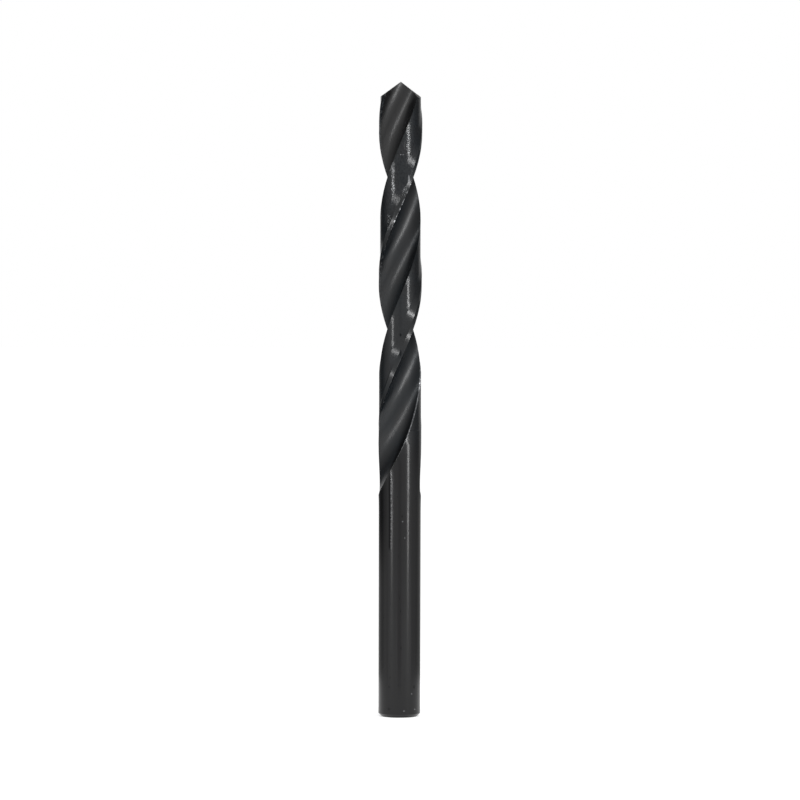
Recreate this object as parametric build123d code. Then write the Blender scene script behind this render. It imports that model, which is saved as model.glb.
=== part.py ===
"""Twist drill for metal: jobber length, two right-hand flutes, straight shank.

One solid of high-speed steel. It stands on the end of its shank at the origin,
axis along +Z, point up. Lengths are millimetres and angles degrees.
"""

import os
from math import acos, asin, ceil, cos, degrees, radians, sin, tan

from build123d import *

# Stock and overall sizes.
drill_diameter = 8.0
overall_length = 117.0
flute_length = 75.0
back_taper = 0.0013
shank_diameter = 7.78
shank_chamfer = 0.6
neck_length = 4.0

# Ground point.
point_angle = 115.0
chisel_angle = 62.0
grind_bearing = -8.0
grind_reach = 7.8
grind_half_angle = 40.5

# Flutes. The corner bearing is the direction, seen from above, of one lip's outer corner.
helix_lead = 56.0
corner_bearing = 43.5
flute_opening = 101.3
opening_growth = 0.025
web_at_point = 1.55
web_growth = 0.010
lift_length = 17.8
lift_overrun = 2.5
lift_bearing = 112.0
lift_flare = 0.72
wheel_radius = 39.0

# Margins and the cleared land behind them.
margin_width = 0.75
clearance_diameter = 7.46
clearance_length = 51.0
light_clearance_diameter = 7.78
light_clearance_length = 64.0
clearance_fade = 2.5
rise_radius = 10.7

# Working allowances of the tools that cut the blank.
oversize = 1.15
hollow_reach = 80.0
flutes = 2
sections_per_turn = 32

radius = drill_diameter / 2
lip_half_angle = radians(point_angle / 2)
corner_height = overall_length - radius / tan(lip_half_angle)
twist_per_mm = 360 / helix_lead


def polar(distance, bearing):
    """A vector in the plan, from a distance and a bearing in degrees."""
    return Vector(distance * cos(radians(bearing)), distance * sin(radians(bearing)))


def leading_bearing(height):
    """Bearing of the first margin's cutting edge at a height."""
    return corner_bearing + twist_per_mm * (height - corner_height)


def turned_blank():
    """Shank, neck and back-tapered body, turned as one bar."""
    shank_radius = shank_diameter / 2
    flute_end = overall_length - flute_length
    body_radius = radius - back_taper * flute_length / 2
    outline = Polyline(
        (0, 0),
        (shank_radius - shank_chamfer, 0),
        (shank_radius, shank_chamfer),
        (shank_radius, flute_end - neck_length),
        (body_radius, flute_end),
        (radius, corner_height),
        (radius, overall_length + radius),
        (0, overall_length + radius),
        close=True,
    )
    return revolve(Plane.XZ * make_face(outline), Axis.Z)


def flank_cone():
    """The grinding cone that leaves one relieved flank and half of the chisel edge."""
    lip_bearing = corner_bearing - degrees(asin(web_at_point / drill_diameter))
    outward_fall = 1 / tan(lip_half_angle)
    backward_fall = outward_fall / tan(radians(chisel_angle))
    heading = radians(grind_bearing)
    ruling = Vector(
        cos(heading),
        sin(heading),
        backward_fall * sin(heading) - outward_fall * cos(heading),
    ).normalized()
    skin_normal = Vector(outward_fall, -backward_fall, 1).normalized()
    half_angle = radians(grind_half_angle)
    cone_axis = ruling * cos(half_angle) - skin_normal * sin(half_angle)
    height = 2 * overall_length
    apex = Vector(0, 0, overall_length) - ruling * grind_reach
    base = Plane(origin=apex + cone_axis * height, z_dir=cone_axis * -1)
    cone = Solid.make_cone(height * tan(half_angle), 0, height, base)
    return Rot(0, 0, lip_bearing) * cone


def flute_section(height):
    """Closed outline of the flute cutter at a height, in place around the axis.

    Its hollow is one arc through the leading corner, the web and the heel.
    """
    depth = overall_length - height
    half_web = (web_at_point + web_growth * max(depth, 0)) / 2
    middle_bearing = (flute_opening + opening_growth * max(depth, 0)) / 2
    half_opening = middle_bearing + lift_flare * lift_run(depth)
    half_chord = radius * sin(radians(half_opening))
    hollow_depth = radius * cos(radians(half_opening)) - half_web
    hollow_radius = (half_chord**2 + hollow_depth**2) / (2 * hollow_depth)
    centre = Vector(half_web + hollow_radius, 0)
    leading_end = centre + polar(hollow_radius, 180 + hollow_reach)
    heel_end = centre + polar(hollow_radius, 180 - hollow_reach)
    crest = Vector(2 * oversize * radius, 0)
    outline = Wire(
        [
            Edge.make_three_point_arc(leading_end, Vector(half_web, 0), heel_end),
            Edge.make_line(heel_end, crest),
            Edge.make_line(crest, leading_end),
        ]
    )
    lift = polar(lift_run(depth) ** 2 / (2 * wheel_radius), lift_bearing - middle_bearing)
    turn = leading_bearing(height) + middle_bearing
    return Pos(0, 0, height) * Rot(0, 0, turn) * Pos(lift) * outline


def lift_run(depth):
    """How far past the end of its full depth the flute wheel is, on its way out of the blank."""
    return max(depth - (flute_length - lift_length), 0)


def flute_cutter():
    """One flute: sections turning with the helix, thinning over the web, then lifting out."""
    top = overall_length + radius / 4
    travel = top - (overall_length - flute_length - lift_overrun)
    steps = ceil(travel / helix_lead * sections_per_turn)
    return Solid.make_loft([flute_section(top - travel * i / steps) for i in range(steps + 1)])


def clearance_outline():
    """Sector over the land behind one margin, rising to the margin along a gentle curve."""
    relief_radius = clearance_diameter / 2
    margin_angle = degrees(margin_width / radius)
    curve_offset = rise_radius - relief_radius
    spread_cosine = (rise_radius**2 - curve_offset**2 - radius**2) / (2 * curve_offset * radius)
    foot_bearing = -margin_angle - degrees(acos(spread_cosine))
    rise_centre = polar(-curve_offset, foot_bearing)
    rise_foot = polar(relief_radius, foot_bearing)
    rise_top = polar(radius, -margin_angle)
    rise_middle = rise_centre + ((rise_foot + rise_top) / 2 - rise_centre).normalized() * rise_radius
    heel_bearing = flute_opening - 180 - margin_angle
    inner_middle = polar(relief_radius, (heel_bearing + foot_bearing) / 2)
    inner_heel = polar(relief_radius, heel_bearing)
    outer_heel = polar(oversize * radius, heel_bearing)
    outer_middle = polar(oversize * radius, heel_bearing / 2)
    outer_margin = polar(oversize * radius, -margin_angle)
    return Wire(
        [
            Edge.make_three_point_arc(rise_foot, rise_middle, rise_top),
            Edge.make_line(rise_top, outer_margin),
            Edge.make_three_point_arc(outer_margin, outer_middle, outer_heel),
            Edge.make_line(outer_heel, inner_heel),
            Edge.make_three_point_arc(inner_heel, inner_middle, rise_foot),
        ]
    )


def clearance_core():
    """Body left inside the cleared land, swelling where the clearance wheels run out."""
    relief_radius = clearance_diameter / 2
    light_radius = light_clearance_diameter / 2
    deep_end = overall_length - clearance_length
    light_end = overall_length - light_clearance_length
    outline = Polyline(
        (0, light_end - 2 * clearance_fade),
        (2 * radius, light_end - 2 * clearance_fade),
        (light_radius, light_end),
        (light_radius, deep_end - clearance_fade),
        (2 * relief_radius - light_radius, deep_end + clearance_fade),
        (0, deep_end + clearance_fade),
        close=True,
    )
    return revolve(Plane.XZ * make_face(outline), Axis.Z)


def clearance_cutter():
    """The ring sector that follows the margin's helix, less the body left inside it."""
    bottom = overall_length - light_clearance_length - clearance_fade
    rise = overall_length - bottom
    start = Pos(0, 0, bottom) * Rot(0, 0, leading_bearing(bottom)) * clearance_outline()
    band = Solid.extrude_linear_with_rotation(
        start, (0, 0, bottom), (0, 0, rise), twist_per_mm * rise
    )
    return band - clearance_core()


def twist_drill():
    """The finished drill."""
    drill = turned_blank()
    cone = flank_cone()
    clearance = clearance_cutter()
    flute = flute_cutter()
    for index in range(flutes):
        place = Rot(0, 0, 360 / flutes * index)
        drill = drill & place * cone
        drill = drill - place * clearance
        drill = drill - place * flute
    return drill


os.makedirs("parts", exist_ok=True)
export_step(twist_drill().solid(), "parts/twist_drill.step")
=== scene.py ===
import math

import bpy
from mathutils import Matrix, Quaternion, Vector

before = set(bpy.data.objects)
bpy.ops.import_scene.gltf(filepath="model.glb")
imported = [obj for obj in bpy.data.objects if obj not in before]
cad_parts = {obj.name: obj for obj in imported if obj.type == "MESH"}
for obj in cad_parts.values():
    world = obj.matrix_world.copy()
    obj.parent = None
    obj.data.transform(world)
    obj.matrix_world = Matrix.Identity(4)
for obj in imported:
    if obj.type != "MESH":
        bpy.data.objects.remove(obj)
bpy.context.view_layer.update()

MM_PER_METRE = 1000.0

# The drill as it is ground, in millimetres and degrees.
LENGTH = 117.0
RADIUS = 4.0
RIM_MM_PER_DEGREE = math.radians(RADIUS)
HELIX_LEAD = 56.0
TURN_PER_MM = 360 / HELIX_LEAD
LIP_TO_LIP = 180.0
CORNER_BEARING = 43.5
CORNER_HEIGHT = 114.45
FLUTE_OPENING = 101.3
OPENING_GROWTH = 0.025
FLUTE_END = 75.0
MARGIN_WIDTH = 0.75
RELIEF_END = 51.0
NECK_TOP = 42.0
NECK_FOOT = 38.0

# The run-out: how the heel and the lip swing round as the flute wheel lifts out.
RUN_OUT_START = 57.2
HEEL_LAG = 1.123
HEEL_RETURN = 0.00583
LIP_RETURN = 0.0079

# How one face gives way to the next. Inside the flute reach a surface can only be flute.
FLUTE_REACH = 3.62
LAND_REACH = 3.70
EDGE_BLEND = 0.05
MARGIN_BLEND = 0.06
END_BLEND = 1.0
POINT_BLEND = 1.2
FLANK_SLOPES = (0.30, 0.42)

# Heights between which the finish changes: pitted oxide, greyer flutes, plain shank.
PITTED_HEIGHTS = (74.0, 84.0)
GREYER_HEIGHTS = (92.0, 102.0)
PLAIN_HEIGHTS = (57.0, 46.0)

# Black oxide on high-speed steel.
OXIDE_IOR = 1.43
OXIDE_BLUE = (0.0045, 0.0062, 0.0080, 1)
OXIDE_GREY = (0.0062, 0.0062, 0.0066, 1)
OXIDE_SHANK = (0.0010, 0.0010, 0.0015, 1)
GROUND_FACE = (0.030, 0.028, 0.026, 1)
BARE_STEEL = (0.56, 0.57, 0.59, 1)
CLOUD_GREY = 0.5

# Grain: waves to a millimetre, detail, and roughness where it isn't the usual.
WHEEL_MARKS = (2.2, 3.0)
LATHE_MARKS = (5.0, 2.0)
FLUTE_GRAIN = (3.4, 2.0, 0.6)
OXIDE_SCALE = (4.4, 3.0, 0.65)
FINE_GRAIN = (9.0, 2.0)

# How the places of the wheel marks and of the lathe marks are scaled, as angle, reach and height.
ALONG_HELIX = (0.12, 1.6, 0.10)
ALONG_RINGS = (0.012, 0.2, 1.0)

# Marks: their grain, then the values at which a mark begins and is whole.
OXIDE_CLOUDS = ((0.22, 2.0), (0.42, 0.60))
ROUGH_PATCHES = ((0.33, 1.0), (0.40, 0.62))
OXIDE_PITS = ((4.2, 2.0), (0.50, 0.60))
SHANK_NICKS = ((1.6, 1.0), (0.745, 0.77))
EDGE_BREAKS = ((1.9, 2.0), (0.46, 0.62))
GLINT_AND_SPECK_MARKS = ((5.2, 1.0), (0.58, 0.66))
PAINTED_DASH_MARKS = ((1.7, 2.0), (0.46, 0.54))

# Height of the marks, in millimetres.
WHEEL_RELIEF = 0.0022
FLUTE_GRAIN_RELIEF = 0.0013
OXIDE_SCALE_RELIEF = 0.022
FINE_RELIEF = 0.0006
LATHE_RELIEF = 0.0004

# How much of the pitting is left far from the point, and between its rough patches.
LEAST_PITTED = 0.30
LEAST_PATCHY = 0.8

# Roughness of the oxide, and what each face and mark adds to it or takes off.
OXIDE_ROUGHNESS = 0.18
LATHE_ROUGHNESS = 0.04
SHANK_POLISH = 0.025
FLUTE_ROUGHNESS = 0.065
WHEEL_ROUGHNESS = 0.06
LAND_POLISH = 0.03
PITTED_POLISH = 0.04
GROUND_ROUGHNESS = 0.18

# Worn edges and painted glints: widths and heights in millimetres, then how bare the steel is in
# each kind of wear and glint.
# The lines along the heel and the lip are worn edges and painted edge glints both.
HEEL_WEAR_AND_GLINT_WIDTH = 0.07
LEAST_HEEL_WEAR_AND_GLINT = 0.35
LIP_WEAR_AND_GLINT_WIDTH = 0.10
LIP_WEAR_AND_GLINT_INSET = 0.03
LIP_WEAR_AND_GLINT_HEIGHTS = (91.0, 97.0)
LIP_WEAR_AND_GLINT_BLEND = 1.5
LEAST_LIP_WEAR_AND_GLINT = 0.07
HEEL_BARE = 0.55
LIP_BARE = 0.8
GLINT_AND_SPECK_BARE = 0.42
RUBBED_AND_GLINT_BARE = 0.24
PAINTED_DASH_BARE = 0.13

# A long scuffed stripe up the left of the shank: dashes of painted highlight on the left lamp's
# highlight, beside a dark line.
SCUFF_BEARING = -114.0
SCUFF_HEIGHTS = (31.5, 45.0)
SCUFF_BLEND = 0.8
SCUFF_WIDTH = 0.33
PAINTED_DASH_WIDTH = 0.13
SHADOW_WIDTH = 0.26

# Thick oxide, which takes up more of the light, and painted shade beside the heel: how much each
# darkens, and where across and down the flute.
HEEL_SIDE = (0.9, 2.6)
RUN_OUT_DEPTHS = (60.0, 68.0)
PAINTED_HEEL_SHADE = 0.48
PAINTED_RUN_OUT_SHADE = 0.45
SHANK_THICK = 0.12
DARK_THICK = 0.60
SCUFF_THICK = 0.55
PIT_THICK = 0.40
NICK_THICK = 0.60

# Where the edge of an oval begins and ends, as the square of the distance from its middle.
OVAL_EDGE = (1.0, 0.5)

# Wear and painted glints on the outside: bearing and height of each place, then its half width
# and half height.
# Painted glints along the lamps' highlight lines on the land, and one real speck low on the body.
GLINT_AND_SPECK_PLACES = [
    (-74.0, 105.2, 0.50, 1.00),
    (-87.0, 103.5, 0.75, 0.13),
    (-80.0, 96.9, 0.50, 1.20),
    (-124.0, 91.3, 0.60, 1.70),
    (-140.0, 58.1, 0.25, 0.15),
    (-112.0, 98.5, 0.42, 3.20),
    (-66.0, 106.3, 0.38, 3.30),
]
# Rubbed places, and at 99.1 mm a painted highlight where the right lamp shines on the margin.
RUBBED_AND_GLINT_PLACES = [
    (-32.0, 114.6, 0.50, 0.30),
    (-67.0, 99.1, 0.18, 0.80),
    (-82.0, 36.2, 0.16, 0.10),
    (-76.0, 33.2, 0.12, 0.10),
    (-54.0, 4.4, 0.15, 0.10),
    (-77.0, 1.3, 0.20, 0.10),
    (-43.0, 1.5, 0.20, 0.10),
]
DARK_PLACES = [
    (-119.0, 5.7, 0.16, 0.14),
    (-90.0, 22.1, 0.16, 0.12),
    (-63.0, 42.1, 0.14, 0.12),
    (-89.0, 70.5, 0.22, 0.35),
    (-89.0, 67.2, 0.22, 0.70),
]

# The studio and its bench, in metres.
BLACK = (0, 0, 0, 1)
WHITE = (1, 1, 1, 1)
STUDIO_LEVEL = 0.7
BENCH_REACH = 3.0
BENCH_GREY = (0.8, 0.8, 0.8, 1)
BENCH_GLOW = 0.5

# The strip lamps, in metres, with the bearing from the front and the watts of each.
STRIP_DISTANCE = 0.29
STRIP_WIDTH = 0.026
STRIP_FOOT = 0.014
STRIP_TOP = 0.60
LEFT_STRIP = (-43.0, 0.52)
RIGHT_STRIP = (46.5, 0.90)

# Cards that darken what the drill's sides reflect, in metres: the bearings that each spans, the
# heights in millimetres between which its foot gives way to its top, and the grey of both at
# some bearings from the front.
CARD_DISTANCE = 0.07
CARD_TOP = 0.30
CARD_STEP = 6.0
LEFT_CARD = {
    "span": (-62.0, -165.0),
    "heights": (18.0, 32.0),
    "foot": [(84.0, 1.0), (100.0, 0.55), (112.0, 0.42), (140.0, 0.45), (152.0, 0.75)],
    "top": [
        (62.0, 1.0),
        (76.0, 0.70),
        (92.0, 0.42),
        (100.0, 0.22),
        (112.0, 0.09),
        (138.0, 0.09),
        (152.0, 0.40),
    ],
}
RIGHT_CARD = {
    "span": (64.0, 165.0),
    "heights": (38.0, 50.0),
    "foot": [(64.0, 1.0), (90.0, 0.70), (105.0, 0.45), (135.0, 0.42), (152.0, 0.60)],
    "top": [
        (64.0, 1.0),
        (76.0, 0.64),
        (86.0, 0.38),
        (100.0, 0.24),
        (122.0, 0.14),
        (128.0, 0.45),
    ],
}
FRONT_CARD = {
    "span": (-10.0, 10.0),
    "heights": (18.0, 35.0),
    "foot": [(0.0, 0.94), (10.0, 1.0)],
    "top": [(0.0, 0.78), (10.0, 1.0)],
}

# The camera, nearly level and aimed at the drill's middle, in metres and degrees. The frame's
# width is what the view takes in at the drill.
VIEW_CENTRE = Vector((0, 0, 0.05843))
VIEW_DISTANCE = 0.77
VIEW_HEIGHT = 2.0
VIEW_ROLL = 0.138
FRAME_WIDTH = 0.147533
SENSOR_WIDTH = 36.0
CLIP_START = 0.01
CLIP_END = 50.0


class Signal:
    """One varying value of a finish, which takes part in sums like a number."""

    def __init__(self, finish, socket):
        self.finish = finish
        self.socket = socket

    def __add__(self, other):
        return self.finish.maths("ADD", self, other)

    def __sub__(self, other):
        return self.finish.maths("SUBTRACT", self, other)

    def __rsub__(self, other):
        return self.finish.maths("SUBTRACT", other, self)

    def __mul__(self, other):
        return self.finish.maths("MULTIPLY", self, other)

    def __mod__(self, other):
        return self.finish.maths("FLOORED_MODULO", self, other)

    def __pow__(self, other):
        return self.finish.maths("POWER", self, other)

    __radd__ = __add__
    __rmul__ = __mul__


class Finish:
    """The node tree of one material or of the studio."""

    def __init__(self, tree):
        tree.nodes.clear()
        self.tree = tree

    def node(self, kind, settings=None, sockets=None, output=0):
        """Adds a node: its type, its settings, then the values or signals of its sockets."""
        made = self.tree.nodes.new("ShaderNode" + kind)
        for name, value in (settings or {}).items():
            if name == "stops":
                self.set_stops(made.color_ramp.elements, value)
            else:
                setattr(made, name, value)
        for key, value in (sockets or {}).items():
            if isinstance(value, Signal):
                self.tree.links.new(value.socket, made.inputs[key])
            else:
                made.inputs[key].default_value = value
        return Signal(self, made.outputs[output]) if made.outputs else None

    def set_stops(self, elements, stops):
        """Gives a ramp that runs from the front to the back its bearings and grey levels."""
        elements.remove(elements[1])
        for index, (bearing, level) in enumerate(stops):
            stop = elements.new(bearing / 180.0) if index else elements[0]
            stop.position = bearing / 180.0
            stop.color = (level, level, level, 1)

    def maths(self, operation, *terms):
        return self.node("Math", {"operation": operation}, dict(enumerate(terms)))

    def most(self, first, *others):
        """The highest of some signals."""
        for other in others:
            first = self.maths("MAXIMUM", first, other)
        return first

    def step(self, signal, start, end):
        """0 before start, 1 after end and smooth between, also where end is the lower."""
        limits = {"Value": signal, "From Min": start, "From Max": end}
        return self.node("MapRange", {"interpolation_type": "SMOOTHSTEP"}, limits)

    def band(self, signal, low, high, blend):
        """1 from low to high, fading to 0 over the blend on both sides."""
        rising = self.step(signal, low - blend, low)
        return rising * self.step(signal, high + blend, high)

    def line(self, signal, width):
        """A fine line where the signal passes through 0."""
        return self.step(self.maths("ABSOLUTE", signal), width, width / 2)

    def at_least(self, least, signal):
        """The signal with its range of 0 to 1 raised to begin at least there."""
        return least + (1 - least) * signal

    def grain(self, place, scale, detail, roughness=0.55):
        """Fractal noise from 0 to 1, with so many waves to a unit of the place."""
        values = {"Vector": place, "Scale": scale, "Detail": detail, "Roughness": roughness}
        return self.node("TexNoise", None, values)

    def marks(self, place, grain, limits):
        """Grain cut to marks: 0 below the first limit and 1 above the second."""
        return self.step(self.grain(place, *grain), *limits)

    def tint(self, amount, first, second):
        """The first colour giving way to the second."""
        return self.node("Mix", {"data_type": "RGBA"}, {0: amount, 6: first, 7: second}, 2)

    def at(self, x, y, z):
        return self.node("CombineXYZ", None, {0: x, 1: y, 2: z})

    def axes(self, vector):
        """The three parts of a vector."""
        return [self.node("SeparateXYZ", None, {0: vector}, axis) for axis in range(3)]

    def shown(self):
        """1 for what the camera, polish or glass shows, and 0 for what lights the drill."""
        seen = self.node("LightPath", None, None, "Is Camera Ray")
        mirrored = self.node("LightPath", None, None, "Is Glossy Ray")
        through = self.node("LightPath", None, None, "Is Transmission Ray")
        return self.most(seen, mirrored, through)


class DrillFinish(Finish):
    """A finish that knows where each face and edge of the drill lies.

    Lengths are in millimetres and angles in degrees. The turn runs round the drill from one
    lip's edge, through the flute and over the land, to the next. What lies before or past an
    edge is measured along the rim.
    """

    def __init__(self, tree):
        super().__init__(tree)
        metres = self.node("TexCoord", None, None, "Object")
        to_mm = {0: metres, "Scale": MM_PER_METRE}
        self.place = self.node("VectorMath", {"operation": "SCALE"}, to_mm)
        x, y, self.z = self.axes(self.place)
        self.reach = self.maths("SQRT", x * x + y * y)
        self.bearing = self.maths("ARCTAN2", y, x) * math.degrees(1)
        self.depth = LENGTH - self.z
        run = self.maths("MAXIMUM", self.depth - RUN_OUT_START, 0.0)
        lip_bearing = (self.z - CORNER_HEIGHT) * TURN_PER_MM + CORNER_BEARING
        swing = run**3.0
        heel_shift = run * HEEL_LAG - swing * HEEL_RETURN
        opening = self.depth * OPENING_GROWTH + FLUTE_OPENING + heel_shift
        self.turn = (self.bearing - lip_bearing) % LIP_TO_LIP
        from_middle = self.turn - opening * 0.5 + LIP_TO_LIP / 2
        from_middle = from_middle % LIP_TO_LIP - LIP_TO_LIP / 2
        self.across = self.reach * self.maths("SINE", from_middle * math.radians(1))
        self.past_heel = (self.turn - opening) * RIM_MM_PER_DEGREE
        self.before_lip = (LIP_TO_LIP - self.turn) * RIM_MM_PER_DEGREE
        self.after_lip = (self.turn - swing * LIP_RETURN) * RIM_MM_PER_DEGREE
        self.find_faces()
        self.find_marks()

    def find_faces(self):
        """Where the surface is flute, land, margin, shank or ground point, from 0 to 1."""
        before_heel = self.step(self.past_heel, EDGE_BLEND, -EDGE_BLEND)
        open_side = before_heel * self.step(self.after_lip, -EDGE_BLEND, EDGE_BLEND)
        inside = self.step(self.reach, LAND_REACH, FLUTE_REACH)
        fluted_length = self.step(self.depth, FLUTE_END, FLUTE_END - END_BLEND)
        self.flute = self.most(open_side, inside) * fluted_length
        self.rim = self.step(self.reach, FLUTE_REACH, LAND_REACH)
        self.body = self.step(self.z, NECK_TOP - END_BLEND, NECK_TOP + END_BLEND)
        land = self.body * (1 - self.flute)
        margin = land * self.band(self.before_lip, 0.0, MARGIN_WIDTH, MARGIN_BLEND)
        cleared_length = self.step(self.depth, RELIEF_END + END_BLEND, RELIEF_END - END_BLEND)
        self.cleared = land * (1 - margin) * cleared_length
        self.shank = self.step(self.z, NECK_TOP, NECK_FOOT)
        self.plain_end = self.step(self.z, *PLAIN_HEIGHTS)
        normal = self.node("NewGeometry", None, None, "Normal")
        facing_up = self.node("SeparateXYZ", None, {0: normal}, "Z")
        at_point = self.step(self.z, CORNER_HEIGHT - POINT_BLEND, CORNER_HEIGHT)
        self.flank = at_point * self.step(facing_up, *FLANK_SLOPES)

    def find_marks(self):
        """The marks of the wheels and the lathe, and how pitted the cleared land is."""
        self.wheel_marks = self.grain(self.drawn_out(self.turn, ALONG_HELIX), *WHEEL_MARKS)
        self.lathe_marks = self.grain(self.drawn_out(self.bearing, ALONG_RINGS), *LATHE_MARKS)
        self.near_point = self.step(self.z, *PITTED_HEIGHTS)
        patches = self.at_least(LEAST_PATCHY, self.marks(self.place, *ROUGH_PATCHES))
        self.pitted = self.cleared * self.at_least(LEAST_PITTED, self.near_point) * patches

    def drawn_out(self, angle, stretches):
        """The place with each way stretched, so that grain becomes marks round the drill."""
        round_axis, outward, upward = stretches
        return self.at(angle * round_axis, self.reach * outward, self.z * upward)

    def ovals(self, places):
        """1 within some ovals on the outside of the drill."""
        return self.maths("MINIMUM", sum(self.oval(*place) for place in places), 1.0)

    def oval(self, bearing, height, half_width, half_height):
        sideways = (self.bearing + (180.0 - bearing)) % 360.0 - 180.0
        sideways = sideways * (RIM_MM_PER_DEGREE / half_width)
        upward = (self.z - height) * (1 / half_height)
        return self.step(sideways * sideways + upward * upward, *OVAL_EDGE)

    def scuff_and_painted_dashes(self):
        """The scuffed stripe on the shank: how bare its painted highlight dashes are, and where
        the dark line is.
        """
        along = self.band(self.z, *SCUFF_HEIGHTS, SCUFF_BLEND)
        beside = (self.bearing - SCUFF_BEARING) * RIM_MM_PER_DEGREE
        dashes = self.marks(self.at(0.0, 0.0, self.z), *PAINTED_DASH_MARKS)
        bright = self.line(beside, PAINTED_DASH_WIDTH) * along * dashes * PAINTED_DASH_BARE
        shadow = self.line(beside + SCUFF_WIDTH, SHADOW_WIDTH) * along
        return bright, shadow

    def bare_steel_and_glints(self):
        """How far the oxide has worn off the edges and the high places, and where bright steel is
        painted as glints.
        """
        breaks = self.marks(self.place, *EDGE_BREAKS)
        # Bright lines along the heel and the lip: worn edges, and painted glints of the edges as
        # well.
        heel = self.line(self.past_heel, HEEL_WEAR_AND_GLINT_WIDTH) * self.body * self.rim
        heel = heel * self.at_least(LEAST_HEEL_WEAR_AND_GLINT, breaks)
        lip = self.line(self.before_lip - LIP_WEAR_AND_GLINT_INSET, LIP_WEAR_AND_GLINT_WIDTH) * self.rim * breaks
        lip = lip * self.step(self.depth, RUN_OUT_START, RUN_OUT_START - END_BLEND)
        worn_and_glinting_lip = self.band(self.z, *LIP_WEAR_AND_GLINT_HEIGHTS, LIP_WEAR_AND_GLINT_BLEND)
        lip = lip * self.at_least(LEAST_LIP_WEAR_AND_GLINT, worn_and_glinting_lip)
        # Painted glints, and one speck, as bright steel within their ovals.
        glints_and_specks = self.marks(self.place, *GLINT_AND_SPECK_MARKS) * self.ovals(GLINT_AND_SPECK_PLACES) * self.rim
        # Rubbed places, and a painted highlight on the margin.
        rubbed_and_glint = self.ovals(RUBBED_AND_GLINT_PLACES) * self.rim
        edges = self.most(heel * HEEL_BARE, lip * LIP_BARE)
        return self.most(edges, glints_and_specks * GLINT_AND_SPECK_BARE, rubbed_and_glint * RUBBED_AND_GLINT_BARE)

    def oxide_and_painted_shade(self, scuff_shadow):
        """How much of the light the oxide takes up where it lies thickly, and painted shade
        beside the heels of the flutes and in the run-out.
        """
        run_out = self.step(self.depth, *RUN_OUT_DEPTHS)
        heel_shade = self.flute * self.body * self.step(self.across, *HEEL_SIDE)
        pits = self.marks(self.place, *OXIDE_PITS) * self.pitted
        nicks = self.marks(self.place, *SHANK_NICKS) * self.plain_end
        # Painted shade: darker on the heel side of the flute, and darker still in the run-out.
        darkening = heel_shade * (PAINTED_HEEL_SHADE + PAINTED_RUN_OUT_SHADE * run_out)
        darkening = darkening + SHANK_THICK * self.plain_end * (1 - self.flute)
        darkening = darkening + DARK_THICK * self.ovals(DARK_PLACES) + SCUFF_THICK * scuff_shadow
        return self.maths("MINIMUM", darkening + PIT_THICK * pits + NICK_THICK * nicks, 1.0)

    def oxide_colour(self, bare):
        """Bluish oxide, greyer in clouds and in the flutes near the point."""
        clouds = CLOUD_GREY * self.marks(self.place, *OXIDE_CLOUDS)
        greyer = self.most(clouds, self.flute * self.step(self.z, *GREYER_HEIGHTS))
        colour = self.tint(greyer, OXIDE_BLUE, OXIDE_GREY)
        colour = self.tint(self.plain_end * (1 - self.flute), colour, OXIDE_SHANK)
        colour = self.tint(self.flank, colour, GROUND_FACE)
        return self.tint(bare, colour, BARE_STEEL)

    def oxide_roughness(self):
        """Smooth on the shank and the cleared land, coarser in the flutes and on the flanks."""
        rough = OXIDE_ROUGHNESS + LATHE_ROUGHNESS * self.lathe_marks - SHANK_POLISH * self.shank
        rough = rough + self.flute * (FLUTE_ROUGHNESS + WHEEL_ROUGHNESS * self.wheel_marks)
        rough = rough - self.cleared * (LAND_POLISH + PITTED_POLISH * self.near_point)
        return rough + self.flank * GROUND_ROUGHNESS

    def oxide_relief(self):
        """The height of all marks, in millimetres, as a normal."""
        flute_grain = self.grain(self.place, *FLUTE_GRAIN)
        scale = self.grain(self.place, *OXIDE_SCALE)
        fine = self.grain(self.place, *FINE_GRAIN)
        height = WHEEL_RELIEF * self.wheel_marks + FLUTE_GRAIN_RELIEF * flute_grain
        height = self.flute * height + self.pitted * OXIDE_SCALE_RELIEF * scale
        height = height + fine * FINE_RELIEF + self.shank * self.lathe_marks * LATHE_RELIEF
        relief = {"Strength": 1.0, "Distance": 1 / MM_PER_METRE, "Height": height}
        return self.node("Bump", None, relief)


def new_material(name, kind=Finish):
    material = bpy.data.materials.new(name)
    material.use_nodes = True
    return material, kind(material.node_tree)


def black_oxide():
    """Black oxide over ground high-speed steel, bright where it has worn through and where glints
    are painted.

    Thick oxide is a metallic base that is nearly black, so it reflects less than thin oxide does.
    The same darkening paints shade beside the heels of the flutes and in the run-out.
    """
    material, f = new_material("black_oxide_steel", DrillFinish)
    # Dashes of painted highlight up the shank, and a dark line beside them.
    painted_dashes, scuff_shadow = f.scuff_and_painted_dashes()
    bare = f.most(f.bare_steel_and_glints(), painted_dashes)
    sockets = {
        "Base Color": f.oxide_colour(bare),
        "Metallic": f.most(bare, f.oxide_and_painted_shade(scuff_shadow)),
        "Roughness": f.oxide_roughness(),
        "IOR": OXIDE_IOR,
        "Normal": f.oxide_relief(),
    }
    surface = f.node("BsdfPrincipled", None, sockets)
    f.node("OutputMaterial", None, {"Surface": surface})
    return material


def bench_paper():
    """Plain pale paper, which shows as white."""
    material, f = new_material("bench_paper")
    sockets = {
        "Base Color": BENCH_GREY,
        "Roughness": 1.0,
        "Specular IOR Level": 0.0,
        "Emission Color": f.tint(f.shown(), BLACK, WHITE),
        "Emission Strength": BENCH_GLOW,
    }
    paper = f.node("BsdfPrincipled", None, sockets)
    f.node("OutputMaterial", None, {"Surface": paper})
    return material


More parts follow.
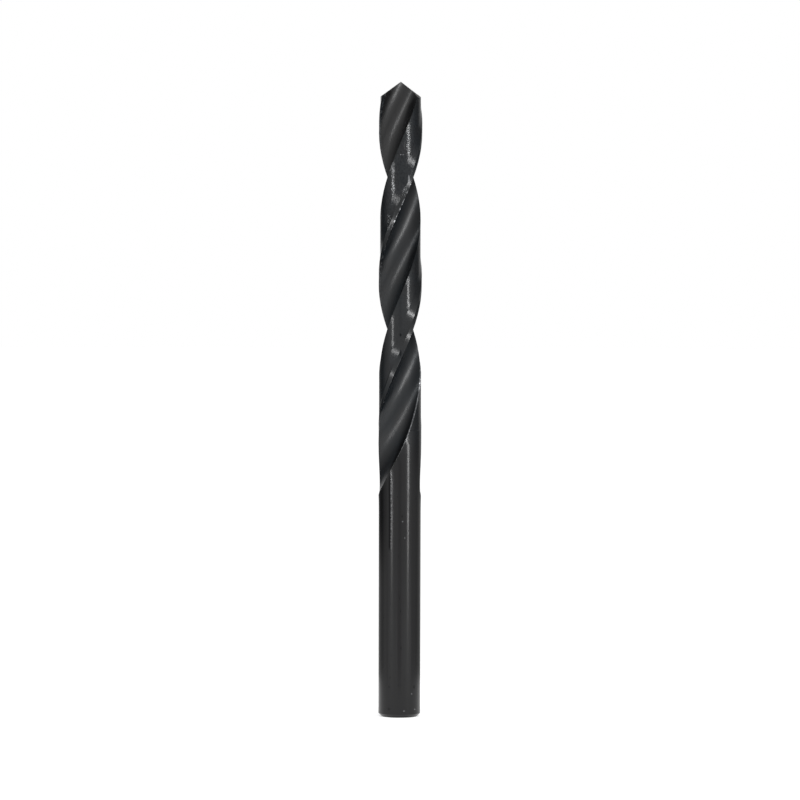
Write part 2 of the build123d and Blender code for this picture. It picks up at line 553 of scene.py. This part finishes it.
def card_face(name, card):
    """The face of a card, whose grey changes with bearing and from its foot to its top."""
    material, f = new_material(name)
    x, y, z = f.axes(f.node("TexCoord", None, None, "Object"))
    from_front = f.maths("ABSOLUTE", f.maths("ARCTAN2", x, y * -1.0)) * (1 / math.pi)
    foot = f.node("ValToRGB", {"stops": card["foot"]}, {0: from_front})
    top = f.node("ValToRGB", {"stops": card["top"]}, {0: from_front})
    shade = f.tint(f.step(z * MM_PER_METRE, *card["heights"]), foot, top)
    face = f.node("Emission", None, {"Color": shade, "Strength": 1.0})
    f.node("OutputMaterial", None, {"Surface": face})
    return material


def studio():
    """A white room: it shows as white, and lights at its own level."""
    world = bpy.data.worlds.new("studio")
    world.use_nodes = True
    bpy.context.scene.world = world
    f = Finish(world.node_tree)
    strength = f.shown() * (1 - STUDIO_LEVEL) + STUDIO_LEVEL
    light = f.node("Background", None, {"Color": WHITE, "Strength": strength})
    f.node("OutputWorld", None, {"Surface": light})


def add_object(name, data):
    made = bpy.data.objects.new(name, data)
    bpy.context.scene.collection.objects.link(made)
    return made


def stage_piece(name, corners, faces, material):
    """A piece of the studio's furniture."""
    mesh = bpy.data.meshes.new(name)
    mesh.from_pydata(corners, [], faces)
    mesh.materials.append(material)
    piece = add_object(name, mesh)
    return piece


def around(bearing, distance, height):
    """A point around the drill: bearing 0 is in front, and positive to the right."""
    angle = math.radians(bearing)
    return (distance * math.sin(angle), -distance * math.cos(angle), height)


def bench():
    side = BENCH_REACH
    corners = [(-side, -side, 0), (side, -side, 0), (side, side, 0), (-side, side, 0)]
    stage_piece("bench", corners, [(0, 1, 2, 3)], bench_paper())


def shaded_card(name, card):
    """A shaded card curved round the drill, which only its polish shows."""
    start, end = card["span"]
    count = math.ceil(abs(end - start) / CARD_STEP)
    bearings = [start + (end - start) * index / count for index in range(count + 1)]
    corners = [around(bearing, CARD_DISTANCE, 0.0) for bearing in bearings]
    corners += [around(bearing, CARD_DISTANCE, CARD_TOP) for bearing in bearings]
    faces = [(i, i + 1, count + i + 2, count + i + 1) for i in range(count)]
    piece = stage_piece(name, corners, faces, card_face(name + "_face", card))
    piece.visible_camera = False
    piece.visible_diffuse = False
    piece.visible_shadow = False
    piece.visible_transmission = False


def strip_lamp(name, bearing, power):
    """A tall narrow soft box that stands beside the drill and faces it."""
    lamp = bpy.data.lights.new(name, "AREA")
    lamp.shape = "RECTANGLE"
    lamp.size = STRIP_WIDTH
    lamp.size_y = STRIP_TOP - STRIP_FOOT
    lamp.energy = power
    middle = (STRIP_TOP + STRIP_FOOT) / 2
    piece = add_object(name, lamp)
    piece.location = around(bearing, STRIP_DISTANCE, middle)
    facing = Vector((0, 0, middle)) - piece.location
    piece.rotation_euler = facing.to_track_quat("-Z", "Y").to_euler()
    piece.visible_camera = False


def place_camera():
    camera = add_object("camera", bpy.data.cameras.new("camera"))
    rise = math.radians(VIEW_HEIGHT)
    camera.location = VIEW_CENTRE + VIEW_DISTANCE * Vector((0, -math.cos(rise), math.sin(rise)))
    level = (VIEW_CENTRE - camera.location).to_track_quat("-Z", "Y")
    roll = Quaternion((0, 0, 1), math.radians(VIEW_ROLL))
    camera.rotation_euler = (level @ roll).to_euler()
    camera.data.sensor_width = SENSOR_WIDTH
    camera.data.lens = SENSOR_WIDTH * VIEW_DISTANCE / FRAME_WIDTH
    camera.data.clip_start = CLIP_START
    camera.data.clip_end = CLIP_END
    bpy.context.scene.camera = camera


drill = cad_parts["twist_drill"]
drill.data.materials.clear()
drill.data.materials.append(black_oxide())

studio()
bench()
strip_lamp("left_strip", *LEFT_STRIP)
strip_lamp("right_strip", *RIGHT_STRIP)
shaded_card("left_card", LEFT_CARD)
shaded_card("right_card", RIGHT_CARD)
shaded_card("front_card", FRONT_CARD)
place_camera()
bpy.context.scene.view_settings.view_transform = "Standard"
